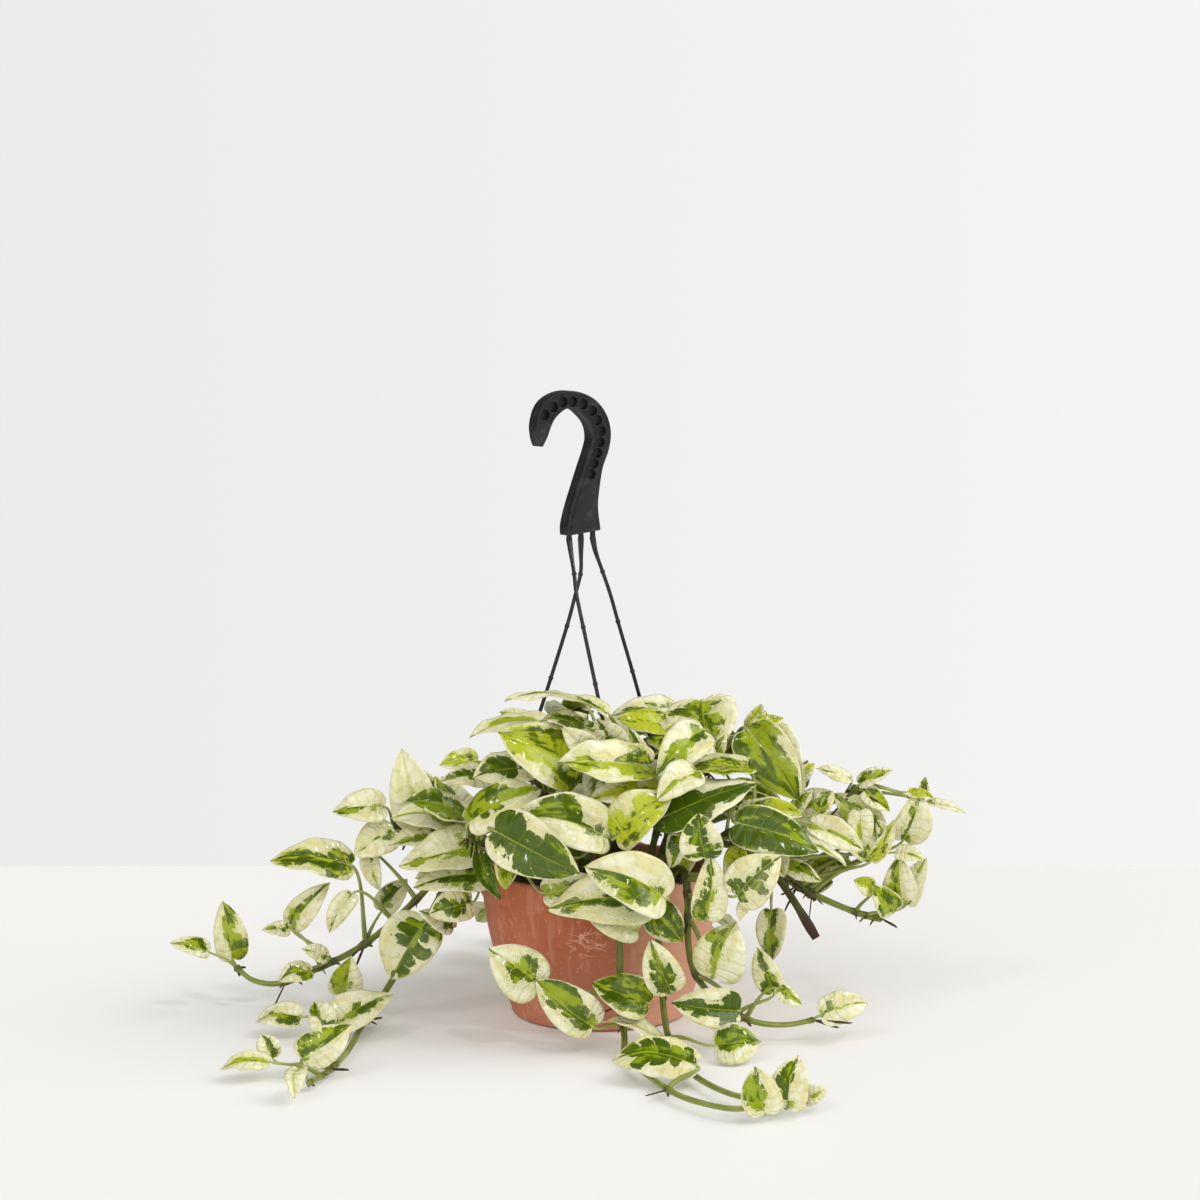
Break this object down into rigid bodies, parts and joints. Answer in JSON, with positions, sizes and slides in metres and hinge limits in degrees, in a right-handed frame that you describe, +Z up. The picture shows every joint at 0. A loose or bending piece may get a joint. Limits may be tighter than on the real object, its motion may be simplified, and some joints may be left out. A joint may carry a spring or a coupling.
{
  "type": "potted variegated pothos",
  "caption": "Bushy variegated pothos with trailing leafy stems in a round clay hanging pot that stands on its base, with a black hook on thin strands.",
  "frame": {"origin": "middle of the pot's base, on the surface that it stands on", "axes": "+Z up the pot's axis, -Y towards the viewer of the picture, +X to the viewer's right"},
  "size_m": [0.5475, 0.5253, 0.4285],
  "materials": {
    "terracotta": "matte unglazed fired clay",
    "potting_soil": "loose matte",
    "black_plastic": "satin moulded",
    "foliage": "satin waxy leaf"
  },
  "bodies": {
    "root": {"pot": "terracotta", "soil": "potting_soil", "hanger_hook": "black_plastic", "hanger_strand_left": "black_plastic", "hanger_strand_front": "black_plastic", "hanger_strand_right": "black_plastic", "crown_middle": "foliage", "crown_back_left": "foliage", "crown_front_left": "foliage", "crown_left": "foliage", "crown_front": "foliage", "crown_right_front": "foliage", "crown_right": "foliage", "crown_right_back": "foliage", "vine_left_reach": "foliage", "vine_left_front": "foliage", "vine_left_high": "foliage", "vine_front_centre": "foliage", "vine_front_right": "foliage", "vine_right_elbow": "foliage", "vine_right_reach": "foliage", "vine_right_high": "foliage", "crown_back": "foliage", "crown_back_right": "foliage", "vine_back_left": "foliage", "vine_back_middle": "foliage", "vine_back_right": "foliage"}
  },
  "joints": []
}
